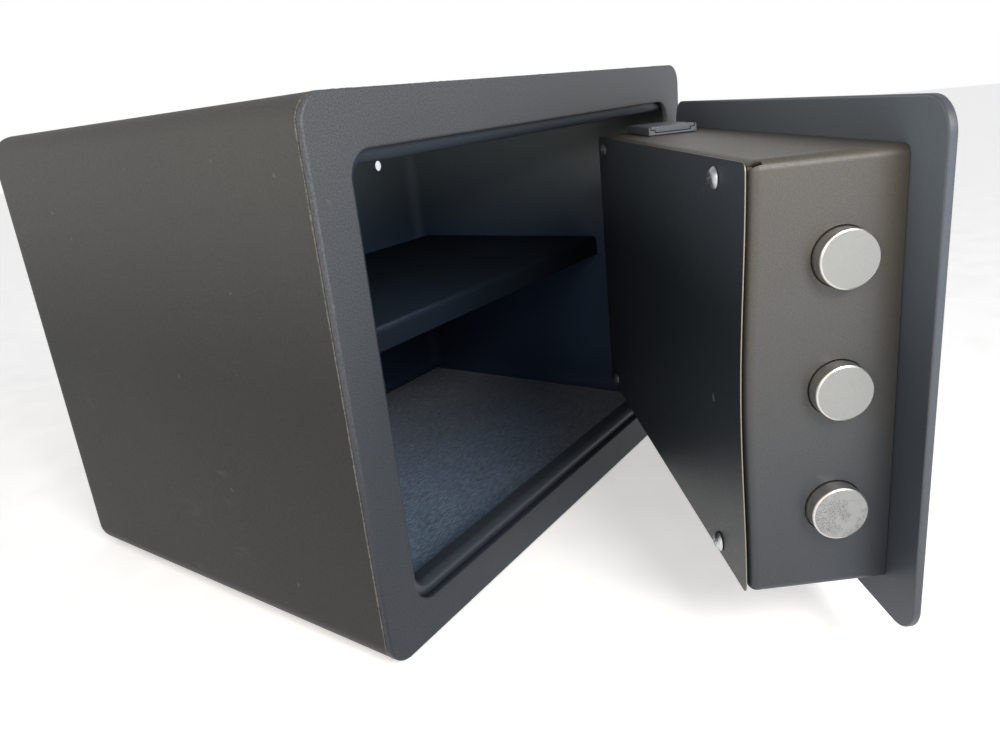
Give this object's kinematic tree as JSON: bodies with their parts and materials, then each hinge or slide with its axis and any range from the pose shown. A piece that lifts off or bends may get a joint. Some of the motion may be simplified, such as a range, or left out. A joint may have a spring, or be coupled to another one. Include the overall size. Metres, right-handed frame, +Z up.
{
  "type": "gun safe",
  "caption": "Compact steel safe with an inset hinged door, round sliding bolts worked by a knob, keypad and key lock, an inner shelf and a floor mat.",
  "frame": {"origin": "middle of the body's footprint, on the underside, with the open door left out", "axes": "+X to the right of someone facing the door, +Y from the door into the body, +Z up"},
  "size_m": [0.35, 0.4497, 0.25],
  "materials": {
    "powder_coat": "fine-textured powder coat",
    "cover_sheet": "dark painted sheet",
    "bright_steel": "nickel-plated, satin",
    "zinc": "zinc-plated",
    "brass": "plain",
    "black_plastic": "moulded, fine texture",
    "rubber": "moulded",
    "felt": "short-pile felt",
    "light_plastic": "satin",
    "board": "solder mask",
    "battery": "printed sleeve",
    "sensor_glass": "dark glass",
    "wire": "insulation"
  },
  "bodies": {
    "body": {"body_shell": "powder_coat", "back_panel": "powder_coat", "front_frame": "powder_coat", "door_stop_frame": "powder_coat", "shelf": "powder_coat", "shelf_rail_left": "powder_coat", "shelf_rail_right": "powder_coat", "floor_mat": "felt", "hinge_bracket_lower": "powder_coat", "hinge_bracket_upper": "powder_coat", "hinge_pin_lower": "bright_steel", "hinge_pin_upper": "bright_steel"},
    "door": {"door_panel": "powder_coat", "lock_case": "powder_coat", "case_cover": "cover_sheet", "cover_screw_1": "zinc", "cover_screw_2": "zinc", "cover_screw_3": "zinc", "cover_screw_4": "zinc", "hinge_arm_lower": "powder_coat", "hinge_arm_upper": "powder_coat", "guide_post_lower": "zinc", "guide_post_upper": "zinc", "spindle_bush": "brass", "keypad_housing": "black_plastic", "fingerprint_window": "sensor_glass", "lock_barrel": "zinc", "cover_rivet": "zinc", "solenoid_body": "zinc", "circuit_board": "board", "battery_tray": "black_plastic", "battery_cell_1": "battery", "battery_cell_2": "battery", "battery_cell_3": "battery", "battery_cell_4": "battery", "keypad_cable": "wire", "solenoid_wire": "wire", "light_base": "black_plastic", "light_lens": "light_plastic"},
    "boltwork": {"locking_bolt_top": "bright_steel", "locking_bolt_middle": "bright_steel", "locking_bolt_bottom": "bright_steel", "bolt_bar": "zinc", "bolt_screw_top": "zinc", "bolt_screw_middle": "zinc", "bolt_screw_bottom": "zinc"},
    "knob": {"knob": "black_plastic", "knob_spindle": "zinc", "lock_cam": "zinc"},
    "button_1": {"keypad_button_1": "rubber"},
    "button_2": {"keypad_button_2": "rubber"},
    "button_3": {"keypad_button_3": "rubber"},
    "button_4": {"keypad_button_4": "rubber"},
    "key_plug": {"key_plug": "brass", "lock_tail": "zinc"},
    "keyhole_cover": {"keyhole_cover": "black_plastic"},
    "plunger": {"solenoid_plunger": "bright_steel"}
  },
  "joints": [
    {"name": "door_hinge", "type": "hinge", "parent": "body", "child": "door", "pos_m": [0.166, -0.1195, 0.1235], "axis": [0, 0, 1], "range_deg": [-38, 62]},
    {"name": "boltwork_slide", "type": "slide", "parent": "door", "child": "boltwork", "axis": [-0.788, -0.6157, 0], "range_m": [0, 0.024]},
    {"name": "knob_turn", "type": "hinge", "parent": "door", "child": "knob", "pos_m": [-0.00292, -0.26226, 0.1235], "axis": [-0.6157, 0.788, 0], "range_deg": [0, 90]},
    {"name": "button_1_press", "type": "slide", "parent": "door", "child": "button_1", "axis": [-0.6157, 0.788, 0], "range_m": [0, 0.0015], "stiffness_N_per_m": 300},
    {"name": "button_2_press", "type": "slide", "parent": "door", "child": "button_2", "axis": [-0.6157, 0.788, 0], "range_m": [0, 0.0015], "stiffness_N_per_m": 300},
    {"name": "button_3_press", "type": "slide", "parent": "door", "child": "button_3", "axis": [-0.6157, 0.788, 0], "range_m": [0, 0.0015], "stiffness_N_per_m": 300},
    {"name": "button_4_press", "type": "slide", "parent": "door", "child": "button_4", "axis": [-0.6157, 0.788, 0], "range_m": [0, 0.0015], "stiffness_N_per_m": 300},
    {"name": "key_turn", "type": "hinge", "parent": "door", "child": "key_plug", "pos_m": [-0.00292, -0.26226, 0.0715], "axis": [-0.6157, 0.788, 0], "range_deg": [0, 90]},
    {"name": "keyhole_cover_swing", "type": "hinge", "parent": "door", "child": "keyhole_cover", "pos_m": [-0.00292, -0.26226, 0.0905], "axis": [-0.6157, 0.788, 0], "range_deg": [-90, 90]},
    {"name": "plunger_throw", "type": "slide", "parent": "door", "child": "plunger", "axis": [-0.788, -0.6157, 0], "range_m": [0, 0.004], "stiffness_N_per_m": 60}
  ],
  "couplings": [
    {"joint": "knob_turn", "follows": "boltwork_slide", "rad_per_m": 65.45}
  ]
}
